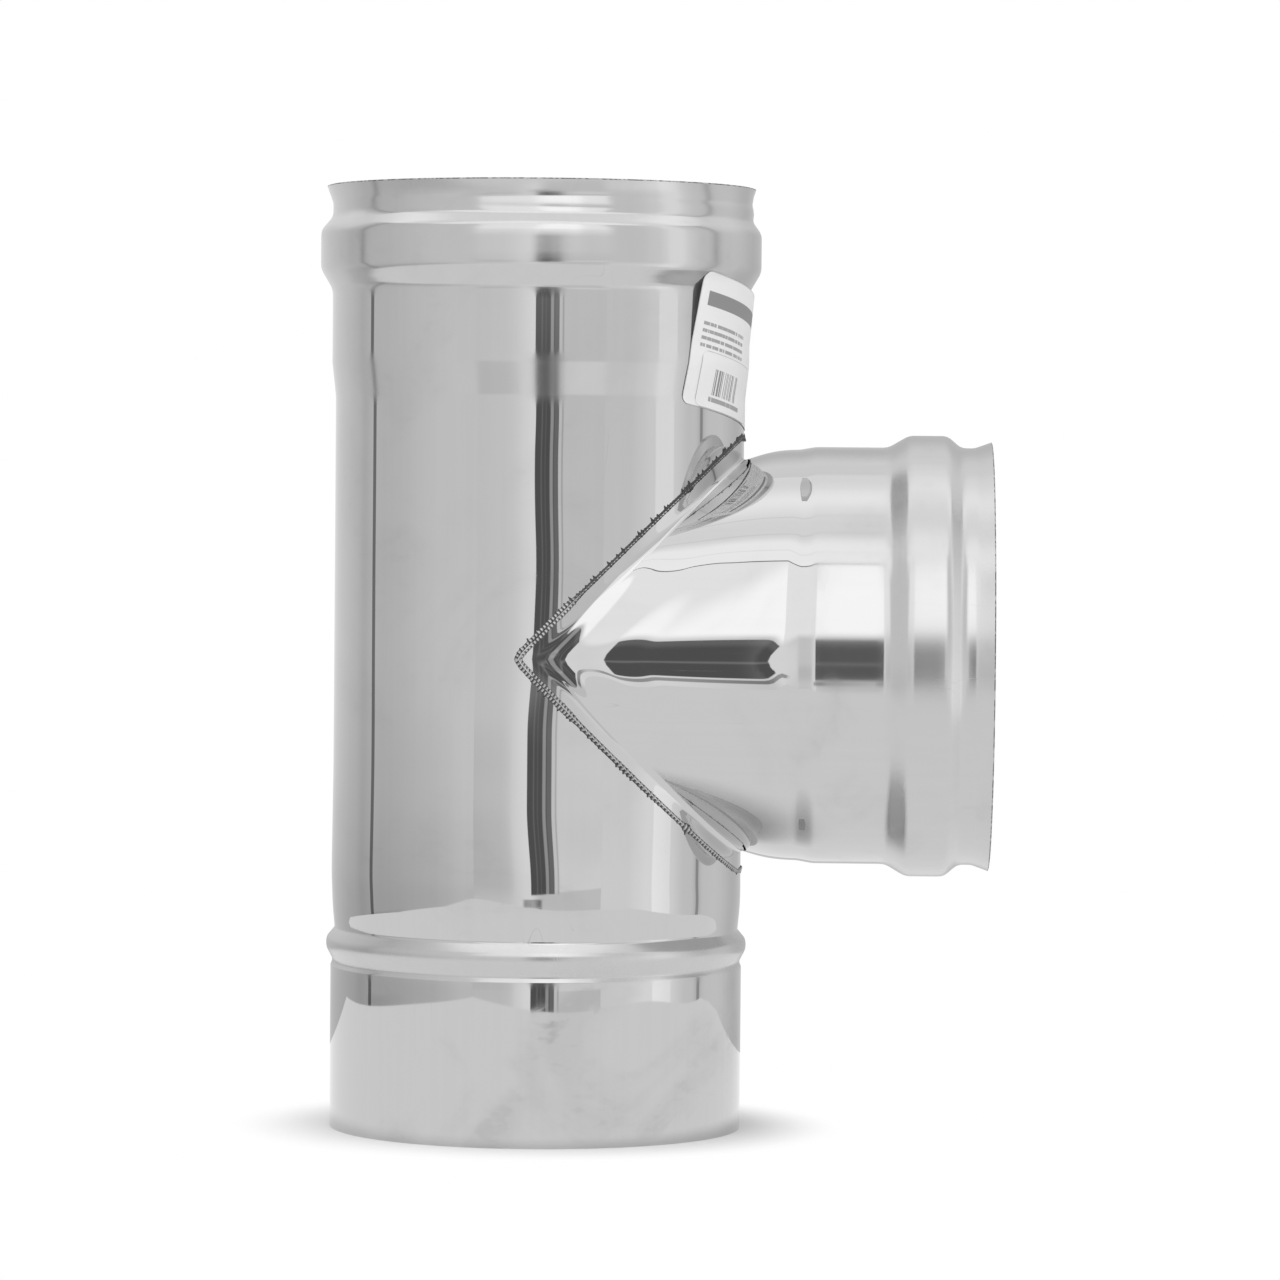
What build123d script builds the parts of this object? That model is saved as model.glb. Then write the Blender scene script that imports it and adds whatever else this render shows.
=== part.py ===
from build123d import *
import os
from math import cos, hypot, radians, sin

# Equal tee for a single-wall flue or duct line, in bright stainless sheet.
# The origin is the centre of the spigot's end. +Z runs up the straight tube to its socket,
# and +X runs out along the branch. Lengths are in millimetres, angles in degrees.

# Sheet and outside radius of the rolled tubes, what the spigot and the branch are opened out
# beyond it, and the play of a spigot in a socket
sheet = 0.5
body_radius = 64.5
spigot_swell = 0.5
branch_swell = 0.3
slip_play = 0.2

# Reach of the branch's axis above the spigot's end, and of each socket's mouth from that axis's crossing
branch_height = 150.0
run_reach = 146.5
branch_reach = 142.5

# Spigot and its stop rib, as lengths up from the spigot's end
spigot_length = 44.0
spigot_taper = 6.0
rib_height = 58.0
rib_width = 9.8
rib_crest = 2.6
rib_rise = 1.9
spigot_fillet = 20.0
rib_foot_fillet = 2.0
rib_crest_fillet = 4.0

# Socket, as lengths back from its mouth
lip_length = 5.3
neck_length = 4.2
bead_front_ramp = 4.4
bead_crest = 12.1
bead_back_ramp = 6.5
socket_length = 22.8
run_shoulder = 10.7
branch_shoulder = 5.1
lip_rise = 1.9
bead_rise = 3.8
lip_fillet = 5.0
bead_front_fillet = 4.5
bead_back_fillet = 6.0
shoulder_fillet = 12.0

# Saddle flange on the branch's inner end, the hole under it, and the weld along its edge
flange_reach = 3.0
hole_lap = 3.0
hole_corner_fillet = 3.0
weld_outside = 1.4
weld_lap = 1.3
weld_height = 0.45

# Paper stickers on the run socket: the larger stands just above the saddle and carries the smaller.
# The angle turns from the front (-Y) towards the branch (+X).
paper = 0.15
glue = 0.05
label_tilt = 9.0
label_corner = 3.0
label_gap = 0.7
label_hold = 6.0
label_fillet = 6.0
product_width = 56.0
product_height = 41.5
product_angle = 72.0
barcode_width = 38.0
barcode_height = 17.5
barcode_shift = 3.3
barcode_drop = 11.8

spigot_radius = body_radius + spigot_swell
branch_body_radius = body_radius + branch_swell
socket_radius = spigot_radius + slip_play + sheet
run_height = branch_height + run_reach
bead_radius = socket_radius + bead_rise
lip_radius = socket_radius + lip_rise
flange_radius = body_radius + sheet
weld_radius = flange_radius + weld_height
cut_margin = 20.0


def inner_corners(corners, depth):
    """Corners of an outline moved towards the axis by depth, square to each of its stretches."""
    normals = []
    for (r0, z0), (r1, z1) in zip(corners, corners[1:]):
        length = hypot(r1 - r0, z1 - z0)
        normals.append(((z1 - z0) / length, (r0 - r1) / length))
    before = [normals[0]] + normals
    after = normals + [normals[-1]]
    moved = []
    for (r, z), (ar, az), (br, bz) in zip(corners, before, after):
        share = depth / (1 + ar * br + az * bz)
        moved.append((r - share * (ar + br), z - share * (az + bz)))
    return moved


def inner_fillets(corners, fillets, depth):
    """Fillets of the moved outline: smaller where it bulges outwards, larger where it is hollow."""
    moved = []
    for fillet_radius, p, q, s in zip(fillets, corners, corners[1:], corners[2:]):
        turn = (q[0] - p[0]) * (s[1] - q[1]) - (q[1] - p[1]) * (s[0] - q[0])
        moved.append(fillet_radius - depth if turn > 0 else fillet_radius + depth)
    return moved


def rolled_sheet(corners, fillets, thickness):
    """Shell of revolution about Z whose outer outline is given as (radius, height) corners."""
    outer = FilletPolyline(*corners, radius=fillets)
    inside = inner_corners(corners, thickness)
    inner = FilletPolyline(*inside, radius=inner_fillets(corners, fillets, thickness))
    foot_edge = Line(corners[0], inside[0])
    mouth_edge = Line(corners[-1], inside[-1])
    section = make_face(outer.edges() + inner.edges() + foot_edge.edges() + mouth_edge.edges())
    return revolve(Plane.XZ * section, Axis.Z)


def socket_corners(mouth, shoulder, tube_radius):
    """Corners of a socket from the foot of its shoulder to its mouth, as (radius, height) pairs."""
    neck_top = mouth - lip_length
    neck_foot = neck_top - neck_length
    bead_top = neck_foot - bead_front_ramp
    bead_foot = bead_top - bead_crest
    grip_top = bead_foot - bead_back_ramp
    grip_foot = grip_top - socket_length
    return [
        (tube_radius, grip_foot - shoulder),
        (socket_radius, grip_foot),
        (socket_radius, grip_top),
        (bead_radius, bead_foot),
        (bead_radius, bead_top),
        (socket_radius, neck_foot),
        (socket_radius, neck_top),
        (lip_radius, mouth),
    ]


socket_fillets = [
    shoulder_fillet,
    shoulder_fillet,
    bead_back_fillet,
    bead_back_fillet,
    bead_front_fillet,
    bead_front_fillet,
    lip_fillet,
]


def run_corners():
    """Corners of the straight tube's outer outline, from the spigot's end to the mouth."""
    spigot = [
        (spigot_radius, 0),
        (spigot_radius, spigot_length),
        (body_radius, spigot_length + spigot_taper),
    ]
    rib = [
        (body_radius, rib_height - rib_width / 2),
        (body_radius + rib_rise, rib_height - rib_crest / 2),
        (body_radius + rib_rise, rib_height + rib_crest / 2),
        (body_radius, rib_height + rib_width / 2),
    ]
    return spigot + rib + socket_corners(run_height, run_shoulder, body_radius)


run_fillets = [
    spigot_fillet,
    spigot_fillet,
    rib_foot_fillet,
    rib_crest_fillet,
    rib_crest_fillet,
    rib_foot_fillet,
] + socket_fillets


def mitre_wedge(tip, tip_fillet=0.0):
    """Solid on the branch's side of two 45 degree mitre planes that meet at x = tip."""
    end = branch_reach + cut_margin
    outline = Polyline((tip, 0), (end, end - tip), (end, tip - end), close=True)
    wedge = extrude(Plane.XZ * make_face(outline), bead_radius + cut_margin, both=True)
    if tip_fillet > 0:
        edge = wedge.edges().filter_by(Axis.Y).sort_by(Axis.X)[0]
        wedge = fillet(edge, tip_fillet)
    return Pos(0, 0, branch_height) * wedge


def run_bar(radius):
    """Round bar on the straight tube's axis, tall enough to pass the whole saddle."""
    return Pos(0, 0, branch_height) * Cylinder(radius, 2 * (bead_radius + cut_margin))


def branch_bar(radius, end):
    """Round bar on the branch's axis, from behind the straight tube's axis to x = end."""
    bar = Cylinder(radius, end + cut_margin, align=(Align.CENTER, Align.CENTER, Align.MAX))
    return Pos(end, 0, branch_height) * Rot(0, 90, 0) * bar


def make_run_tube():
    """Straight tube with spigot, stop rib and socket, and the branch's hole cut in its side."""
    tube = rolled_sheet(run_corners(), run_fillets, sheet)
    return tube - mitre_wedge(hole_lap, hole_corner_fillet)


def make_branch_tube():
    """Side tube with its socket, whose inner end is flared into a flange lying on the straight tube."""
    socket_outline = socket_corners(branch_reach, branch_shoulder, branch_body_radius)
    saddle_end = (flange_radius + socket_outline[0][1]) / 2
    outside = branch_bar(branch_body_radius, saddle_end) + run_bar(flange_radius)
    saddle = outside & mitre_wedge(-flange_reach)
    saddle = saddle - run_bar(body_radius) - branch_bar(branch_body_radius - sheet, saddle_end)
    socket = rolled_sheet([(branch_body_radius, saddle_end)] + socket_outline, socket_fillets, sheet)
    return saddle + Pos(0, 0, branch_height) * Rot(0, 90, 0) * socket


def make_saddle_weld():
    """Bead along the flange's edge, lying half on the flange and half on the straight tube."""
    band = mitre_wedge(-flange_reach - weld_outside) - mitre_wedge(weld_lap - flange_reach)
    bead = (run_bar(weld_radius) - run_bar(body_radius)) & band
    flange = (run_bar(flange_radius) - run_bar(body_radius)) & mitre_wedge(-flange_reach)
    return bead - flange


def label_skin(layer):
    """Full ring of paper that lies on the run socket, over as many other layers of paper."""
    foot, grip_foot, grip_top, bead_foot, bead_top = socket_corners(run_height, run_shoulder, body_radius)[:5]
    seat = ((grip_top[0] + bead_foot[0]) / 2, (grip_top[1] + bead_foot[1]) / 2)
    corners = [
        (body_radius, branch_height + body_radius),
        foot,
        grip_foot,
        (socket_radius, grip_foot[1] + label_hold),
        seat,
        bead_foot,
        bead_top,
    ]
    fillets = [shoulder_fillet, shoulder_fillet, label_fillet, label_fillet, bead_back_fillet]
    lift = (layer + 1) * (glue + paper)
    return rolled_sheet(inner_corners(corners, -lift), inner_fillets(corners, fillets, -lift), paper)


def label_stamp(width, height, shift=0.0, drop=0.0):
    """Tilted bar with rounded corners, run out from the tube's axis through the larger sticker's middle."""
    tilt = radians(label_tilt)
    corner_run = (product_width / 2 - label_corner) * sin(tilt)
    corner_fall = (product_height / 2 - label_corner) * cos(tilt) + label_corner
    saddle_top = branch_height + weld_radius + flange_reach + weld_outside
    turn = radians(product_angle)
    outward = Vector(sin(turn), -cos(turn), 0)
    middle = outward * body_radius / 2 + Vector(0, 0, saddle_top + label_gap + corner_run + corner_fall)
    plane = Plane(origin=middle, x_dir=(cos(turn), sin(turn), 0), z_dir=outward)
    chord = 2 * socket_radius * sin(width / (2 * socket_radius))
    sheet_face = Pos(-shift, -drop) * RectangleRounded(chord, height, label_corner)
    return plane * Rot(0, 0, -label_tilt) * extrude(sheet_face, bead_radius)


def make_product_label():
    """Larger sticker: it bridges the hollow under the sealing bead."""
    return label_skin(0) & label_stamp(product_width, product_height)


def make_barcode_label():
    """Smaller sticker, stuck on the lower part of the larger one."""
    return label_skin(1) & label_stamp(barcode_width, barcode_height, barcode_shift, barcode_drop)


parts = {
    "run_tube": make_run_tube(),
    "branch_tube": make_branch_tube(),
    "saddle_weld": make_saddle_weld(),
    "product_label": make_product_label(),
    "barcode_label": make_barcode_label(),
}

os.makedirs("parts", exist_ok=True)
for name, shape in parts.items():
    export_step(shape, f"parts/{name}.step")
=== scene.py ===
from math import acos, pi, radians, tan

import bmesh
import bpy
import numpy as np
from mathutils import Matrix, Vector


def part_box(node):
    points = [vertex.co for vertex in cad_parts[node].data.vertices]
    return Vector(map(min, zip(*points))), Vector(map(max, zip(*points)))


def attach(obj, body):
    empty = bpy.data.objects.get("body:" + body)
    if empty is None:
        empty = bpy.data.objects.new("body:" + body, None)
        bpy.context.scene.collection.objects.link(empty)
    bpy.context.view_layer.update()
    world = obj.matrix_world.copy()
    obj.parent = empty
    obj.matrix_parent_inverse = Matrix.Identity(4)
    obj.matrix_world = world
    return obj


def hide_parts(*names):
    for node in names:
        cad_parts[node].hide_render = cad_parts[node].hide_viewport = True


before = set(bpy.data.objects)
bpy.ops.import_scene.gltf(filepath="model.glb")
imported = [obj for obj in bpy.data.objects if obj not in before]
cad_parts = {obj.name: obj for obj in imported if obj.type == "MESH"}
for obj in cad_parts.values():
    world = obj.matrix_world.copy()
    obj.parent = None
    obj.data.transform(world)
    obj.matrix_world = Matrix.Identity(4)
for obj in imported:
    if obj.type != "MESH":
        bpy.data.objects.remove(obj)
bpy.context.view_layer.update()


# Camera: it stands almost level with the tee, a little to the branch's side, and looks through a
# long lens. Place in metres, turns in radians, and the lens in picture widths.
camera_place = (0.09105, -1.81531, 0.20914)
camera_yaw, camera_pitch, camera_roll = 0.03243, 0.03023, 0.00857
picture_size, focal_length = 1280, 5745.2

camera_data = bpy.data.cameras.new("camera")
camera_data.lens = camera_data.sensor_width * focal_length / picture_size
camera = bpy.data.objects.new("camera", camera_data)
bpy.context.scene.collection.objects.link(camera)
bpy.context.scene.camera = camera
camera.matrix_world = (
    Matrix.Translation(camera_place)
    @ Matrix.Rotation(camera_yaw, 4, "Z")
    @ Matrix.Rotation(pi / 2 - camera_pitch, 4, "X")
    @ Matrix.Rotation(camera_roll, 4, "Z")
)
bpy.context.scene.view_settings.view_transform = "Standard"


# Light tent: bulging cloth walls, a cloth roof, and beyond the open front a curtain with a gap for
# the lens. The cloth glows with the lamps behind it, and its seams are taped. Lengths in metres.
tent_height = 0.66
left_wall_line = [(-0.485, -0.283), (-0.308, -0.425), (-0.031, -0.486), (0.264, -0.415)]
right_wall_line = [(-0.413, 0.310), (-0.313, 0.429), (-0.160, 0.504), (0.114, 0.510)]
front_line = [(-0.283, -0.485), (-0.141, -0.516), (0.093, -0.497), (0.310, -0.413)]
back_line = [(-0.415, 0.264), (0.402, 0.212), (0.470, 0.170), (0.510, 0.114)]
left_seam, right_seam, tape_width = 0.059, 0.090, 0.022
foot_tape_height, foot_band = 0.004, 0.02
wall_columns, back_columns = 500, 120


def smooth_step(low, high, value):
    """0 at low, 1 at high, and a cubic ease between them, whichever of the two is larger."""
    share = np.clip((value - low) / (high - low), 0, 1)
    return share * share * (3 - 2 * share)


def bump(value, centre, width):
    """Bell curve of height 1 round the centre."""
    return np.exp(-(((value - centre) / width) ** 2))


def band(low, high, ease, value):
    """1 between low and high and 0 outside them, with an eased edge half inside and half outside."""
    rise = smooth_step(low - ease / 2, low + ease / 2, value)
    return rise * smooth_step(high + ease / 2, high - ease / 2, value)


def grid_faces(rows, columns):
    """Quads of a grid of points numbered row by row. They look along the cross product of the
    direction from row to row and the direction from column to column."""
    corner = (np.arange(rows - 1)[:, None] * columns + np.arange(columns - 1)).ravel()
    return np.stack([corner, corner + columns, corner + columns + 1, corner + 1], axis=1)


def add_node(tree, kind, inputs=None, **settings):
    """New node with its settings. Each input, by name or number, gets a value or a link."""
    node = tree.nodes.new(kind)
    for name, value in settings.items():
        setattr(node, name, value)
    for name, value in (inputs or {}).items():
        if isinstance(value, bpy.types.NodeSocket):
            tree.links.new(value, node.inputs[name])
        else:
            node.inputs[name].default_value = value
    return node


def new_material(name):
    """Material, its node tree and its main shader."""
    material = bpy.data.materials.new(name)
    material.use_nodes = True
    return material, material.node_tree, material.node_tree.nodes["Principled BSDF"]


def new_object(name, mesh, material):
    """Object of a mesh and its material, put in the scene."""
    mesh.materials.append(material)
    made = bpy.data.objects.new(name, mesh)
    bpy.context.scene.collection.objects.link(made)
    return made


def glowing_cloth(name, points, glow):
    """Sheet through a grid of points, whose light at each point is the glow there."""
    mesh = bpy.data.meshes.new(name)
    mesh.from_pydata(points.reshape(-1, 3), [], grid_faces(*glow.shape))
    mesh.attributes.new("glow", "FLOAT", "POINT").data.foreach_set("value", glow.ravel())
    material, tree, shader = new_material(name)
    tree.nodes.remove(shader)
    strength = add_node(tree, "ShaderNodeAttribute", attribute_name="glow").outputs["Fac"]
    light = add_node(tree, "ShaderNodeEmission", {"Strength": strength})
    tree.links.new(light.outputs["Emission"], tree.nodes["Material Output"].inputs["Surface"])
    cloth = new_object(name, mesh, material)
    cloth.visible_camera = False


def cubic(line, value):
    """Cubic through the four points of a line, at the value."""
    place, reach = np.array(line).T
    return np.polyval(np.polyfit(place, reach, 3), value)


def upright_cloth(name, x, y, dimming):
    """Wall over a line on the floor. Its glow goes by the height and by the bearing from the tee's
    front, in degrees to the left or right: lamps add to it, and shades, folds and tapes dim it."""
    foot_levels = np.linspace(0, foot_band, 17)
    levels = np.concatenate([foot_levels, np.linspace(foot_band, tent_height, 34)[1:]])
    x, height = np.meshgrid(x, levels)
    y = np.broadcast_to(y, x.shape)
    bearing = np.degrees(np.arctan2(x, -y))
    left, right = np.maximum(-bearing, 0), np.maximum(bearing, 0)

    side_shade, fold_shade = smooth_step(45, 90, left), bump(left, 106, 5)
    back_lamp = smooth_step(105, 135, left)
    front_lamp = smooth_step(55, 33, left) * smooth_step(0.18, 0.04, height)
    left_glow = 0.90 - 0.15 * side_shade - 0.07 * fold_shade + 0.09 * back_lamp
    left_glow = left_glow * (1 - 0.25 * smooth_step(0.15, 0, height)) + 0.14 * front_lamp

    side_lamp, band_lamp = smooth_step(50, 66, right), band(67, 79, 1.0, right)
    side_shade, fold_shade = smooth_step(80, 90, right), bump(right, 100, 3)
    back_shade = smooth_step(115, 140, right)
    front_lamp = smooth_step(90, 60, right) * smooth_step(0.22, 0.05, height)
    right_glow = 0.89 + 0.12 * side_lamp + 0.17 * band_lamp
    right_glow = right_glow - 0.13 * side_shade - 0.20 * fold_shade - 0.24 * back_shade
    right_glow = right_glow * (1 + 0.16 * front_lamp)

    glow = np.where(bearing < 0, left_glow, right_glow)
    top_lamp = smooth_step(0.30, 0.48, height) * smooth_step(95, 120, np.abs(bearing))
    glow = (glow + (1 - glow) * top_lamp) * dimming
    foot_tape = smooth_step(foot_tape_height + 0.001, foot_tape_height - 0.001, height) * (bearing < 0)
    foot_tape = foot_tape * smooth_step(-0.22, 0.05, y) * smooth_step(0.10, 0.06, y)
    glow = glow * (1 - 0.12 * foot_tape)
    glowing_cloth(name, np.stack([x, y, height], axis=-1), glow)


def tape(seam, ease, value):
    """1 on the tape over a seam, and 0 beside it."""
    return band(seam - tape_width / 2, seam + tape_width / 2, ease, value)


wall_y = np.linspace(left_wall_line[0][0], left_wall_line[-1][0], wall_columns)
left_dimming = 1 - 0.68 * tape(left_seam, 0.003, wall_y)
upright_cloth("tent_wall_left", cubic(left_wall_line, wall_y), wall_y, left_dimming)
wall_y = np.linspace(right_wall_line[0][0], right_wall_line[-1][0], wall_columns)
right_dimming = 1 - 0.40 * tape(right_seam, 0.004, wall_y)
upright_cloth("tent_wall_right", cubic(right_wall_line, wall_y), wall_y, right_dimming)
back_x = np.linspace(back_line[0][0], back_line[-1][0], back_columns)
back_y = np.interp(back_x, *zip(*back_line))
upright_cloth("tent_wall_back", back_x, back_y, np.ones_like(back_x))

roof_half_width, roof_front, roof_back, roof_tape_width = 0.56, -0.424, 0.27, 0.008
roof_folds, fold_width = (-0.33, -0.20, -0.09), 0.003
roof_x, roof_y = np.meshgrid(
    np.linspace(-roof_half_width, roof_half_width, 12),
    np.linspace(roof_front, roof_back, 400),
)
roof_glow = 1.13 + 0.30 * smooth_step(-0.20, -0.28, roof_y) + 0.26 * bump(roof_y, 0.02, 0.09)
roof_glow = roof_glow * (1 - 0.8 * band(roof_front, roof_front + roof_tape_width, fold_width, roof_y))
for fold in roof_folds:
    roof_glow = roof_glow * (1 - 0.15 * bump(roof_y, fold, fold_width))
roof_points = np.stack([roof_x, roof_y, np.full_like(roof_x, tent_height)], axis=-1)
glowing_cloth("tent_roof", roof_points, roof_glow)

curtain_place, curtain_half_width, curtain_foot, curtain_top = -1.0, 1.2, -0.6, 1.6
gap_left, gap_right, gap_foot, gap_top = 0.002, 0.224, -0.052, 0.325
fine_left, fine_right, fine_foot, fine_top = -0.10, 0.35, -0.12, 0.48
x, z = np.meshgrid(
    np.concatenate([
        np.linspace(-curtain_half_width, fine_left, 30)[:-1],
        np.linspace(fine_left, fine_right, 280),
        np.linspace(fine_right, curtain_half_width, 20)[1:],
    ]),
    np.concatenate([
        np.linspace(curtain_foot, fine_foot, 10)[:-1],
        np.linspace(fine_foot, fine_top, 200),
        np.linspace(fine_top, curtain_top, 40)[1:],
    ]),
)
left_lamp, middle_lamp = bump(x, -0.35, 0.3), bump(x, 0, 0.17) * smooth_step(0.10, 0.0, x)
right_lamp = smooth_step(0.2, 0.3, x) * smooth_step(0.15, 0.03, z) * smooth_step(-0.05, -0.03, z)
left_shade = smooth_step(-0.12, -0.20, x) * band(-0.06, 0.075, 0.10, z)
front_tape = band(-0.104, -0.070, 0.008, z) * band(-0.07, 0.10, 0.04, x)
gap_tape = band(0.254, 0.270, 0.010, x) * band(-0.05, gap_top, 0.02, z)
curtain_glow = 0.86 + 0.05 * left_lamp + 0.26 * middle_lamp + 0.18 * right_lamp
curtain_glow = curtain_glow - 0.12 * left_shade - 0.62 * front_tape - 0.25 * gap_tape

# In the gap the room is dark, with a pale upright stripe, two faint ones and a level one.
pale_stripe, right_of_it = band(0.142, 0.172, 0.012, x), smooth_step(0.175, 0.185, x)
left_stripe, middle_stripe = bump(x, 0.062, 0.007), bump(x, 0.098, 0.005)
level_stripe, room_top = bump(z, 0.10, 0.012), smooth_step(0.24, 0.30, z)
gap_glow = 0.13 + 0.34 * pale_stripe + 0.10 * right_of_it + 0.08 * left_stripe
gap_glow = gap_glow + 0.05 * middle_stripe + 0.14 * level_stripe + 0.08 * room_top
gap = band(gap_left, gap_right, 0.006, x) * band(gap_foot, gap_top, 0.008, z)
curtain_glow = curtain_glow + (gap_glow - curtain_glow) * gap

above_glow, window_glow, window_width = 1.33, 1.62, 0.42
above = smooth_step(gap_top, gap_top + 0.08, z)
curtain_glow = curtain_glow + (above_glow - curtain_glow) * above
window_left = 0.075 * (z - gap_top) - 0.01
window = band(0, window_width, 0.05, x - window_left) * above
curtain_glow = curtain_glow + (window_glow - curtain_glow) * window
curtain_points = np.stack([x, np.full_like(x, curtain_place), z], axis=-1)
glowing_cloth("tent_curtain", curtain_points, curtain_glow)


# Floor sheet of the tent: pale cloth that keeps the tee's soft shadow and fades to plain white away
# from it, so that it has no edge against the white background.
shadow_reach, white_reach = 0.063, 0.098
floor_colour = 0.93
floor_middle = np.array([0, -0.1, 0])
rim_steps, middle_share = 60, 0.001

front_x = np.linspace(front_line[0][0], front_line[-1][0], rim_steps)
right_y = np.linspace(right_wall_line[0][0], right_wall_line[-1][0], rim_steps)
left_y = np.linspace(left_wall_line[-1][0], left_wall_line[0][0], rim_steps)
rim_x = [front_x, cubic(right_wall_line, right_y), back_x[::-1], cubic(left_wall_line, left_y)]
rim_y = [cubic(front_line, front_x), right_y, back_y[::-1], left_y]
rim_x, rim_y = np.concatenate(rim_x), np.concatenate(rim_y)
floor_rim = np.stack([rim_x, rim_y, np.zeros_like(rim_x)], axis=-1)
share = np.linspace(middle_share, 1, 12)[:, None, None]
floor_points = floor_middle + (floor_rim - floor_middle) * share
floor_mesh = bpy.data.meshes.new("floor")
floor_mesh.from_pydata(floor_points.reshape(-1, 3), [], grid_faces(*floor_points.shape[:2]))

floor_material, tree, cloth_shader = new_material("floor_cloth")
cloth_shader.inputs["Base Color"].default_value = (floor_colour, floor_colour, floor_colour, 1)
cloth_shader.inputs["Roughness"].default_value = 1
cloth_shader.inputs["Specular IOR Level"].default_value = 0
floor_place = add_node(tree, "ShaderNodeTexCoord").outputs["Object"]
distance = add_node(tree, "ShaderNodeVectorMath", {0: floor_place}, operation="LENGTH").outputs["Value"]
fade_inputs = {"Value": distance, "From Min": shadow_reach, "From Max": white_reach}
fade = add_node(tree, "ShaderNodeMapRange", fade_inputs, interpolation_type="SMOOTHSTEP").outputs[0]
ray = add_node(tree, "ShaderNodeLightPath").outputs
seen = ray["Is Camera Ray"]
for other in ("Is Glossy Ray", "Is Transmission Ray"):
    seen = add_node(tree, "ShaderNodeMath", {0: seen, 1: ray[other]}, operation="MAXIMUM").outputs[0]
whiteness = add_node(tree, "ShaderNodeMath", {0: fade, 1: seen}, operation="MULTIPLY")
white = add_node(tree, "ShaderNodeEmission")
blend_inputs = {0: whiteness.outputs[0], 1: cloth_shader.outputs["BSDF"], 2: white.outputs["Emission"]}
blend = add_node(tree, "ShaderNodeMixShader", blend_inputs)
tree.links.new(blend.outputs["Shader"], tree.nodes["Material Output"].inputs["Surface"])
floor = new_object("floor", floor_mesh, floor_material)

# Round the tent everything is plain white.
world = bpy.data.worlds.new("white_studio")
bpy.context.scene.world = world
world.use_nodes = True
world.node_tree.nodes["Background"].inputs["Color"].default_value = (1, 1, 1, 1)
world.node_tree.nodes["Background"].inputs["Strength"].default_value = 1


# Straight tube of the tee: half a millimetre of bright stainless sheet, rolled and seam welded, with
# a plain spigot and a stop rib at its foot and a beaded socket at its top. Lengths in millimetres.
metre = 0.001
run_high = np.array(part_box("run_tube")[1]) / metre
branch_low, branch_high = (np.array(corner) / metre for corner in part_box("branch_tube"))
branch_height = (branch_low[2] + branch_high[2]) / 2
sheet, burr_width = 0.5, 0.22
bead_rise, lip_rise, grip_rise, spigot_swell = 3.8, 1.9, 1.2, 0.5
lip_length, neck_length, bead_front_ramp = 5.3, 4.2, 4.4
bead_crest, bead_back_ramp, grip_length = 12.1, 6.5, 22.8
bead_reach = lip_length + neck_length + bead_front_ramp + bead_crest + bead_back_ramp
bead_radius = run_high[0]
socket_radius = bead_radius - bead_rise
lip_radius = socket_radius + lip_rise
body_radius = socket_radius - grip_rise
spigot_radius = body_radius + spigot_swell
lip_overhang = sheet * lip_rise / np.hypot(lip_rise, lip_length)
run_mouth, run_shoulder = run_high[2] - lip_overhang, 10.7
spigot_length, spigot_taper = 51.0, 1.2
rib_height, rib_half_width, rib_half_crest, rib_rise = 58.0, 4.9, 1.3, 1.9
stretch_step, arc_step = 2.6, 0.75
merge_reach, least_edge = 0.002 * metre, 0.0001 * metre


def socket_corners(mouth, shoulder, tube_radius):
    """Corners of a socket's outline, as (height, radius), at set lengths back from its mouth."""
    neck_top = mouth - lip_length
    neck_foot = neck_top - neck_length
    bead_top = neck_foot - bead_front_ramp
    bead_foot = bead_top - bead_crest
    grip_top = bead_foot - bead_back_ramp
    grip_foot = grip_top - grip_length
    return [
        (grip_foot - shoulder, tube_radius),
        (grip_foot, socket_radius),
        (grip_top, socket_radius),
        (bead_foot, bead_radius),
        (bead_top, bead_radius),
        (neck_foot, socket_radius),
        (neck_top, socket_radius),
        (mouth, lip_radius),
    ]


def rounded_outline(corners, fillets, longest_step, longest_arc_step):
    """Points and outward normals along an outline of (height, radius) corners.

    Each inner corner gives way to the arc that touches both its stretches: it starts and ends the
    fillet times the tangent of half the turn away from the corner. Stretches and arcs are cut evenly,
    and a narrow last stretch is left for the burr at the cut edge."""
    corners = np.array(corners, float)
    runs = np.diff(corners, axis=0)
    along = runs / np.linalg.norm(runs, axis=1)[:, None]
    normals = np.stack([-along[:, 1], along[:, 0]], axis=1)
    points, directions = [], []
    start = corners[0]
    for i, fillet in enumerate(fillets):
        turn = np.arctan2(np.cross(along[i], along[i + 1]), along[i] @ along[i + 1])
        reach = abs(fillet * tan(turn / 2))
        end = corners[i + 1] - along[i] * reach
        count = max(1, int(np.ceil(np.linalg.norm(end - start) / longest_step)))
        points.append(start + (end - start) * np.linspace(0, 1, count + 1)[:-1, None])
        directions.append(np.repeat(normals[i : i + 1], count, axis=0))
        count = max(3, int(np.ceil(abs(fillet * turn) / longest_arc_step)))
        angle = np.linspace(0, turn, count + 1)[:-1, None]
        turned = normals[i] * np.cos(angle) - along[i] * np.sin(angle)
        points.append(end + (normals[i] - turned) * fillet * np.sign(turn))
        directions.append(turned)
        start = corners[i + 1] + along[i + 1] * reach
    end = corners[-1] - along[-1] * burr_width
    count = max(1, int(np.ceil(np.linalg.norm(end - start) / longest_step)))
    points.append(start + (end - start) * np.linspace(0, 1, count + 1)[:, None])
    points.append(corners[-1:])
    directions.append(np.repeat(normals[-1:], count + 2, axis=0))
    return np.concatenate(points), np.concatenate(directions)


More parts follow.
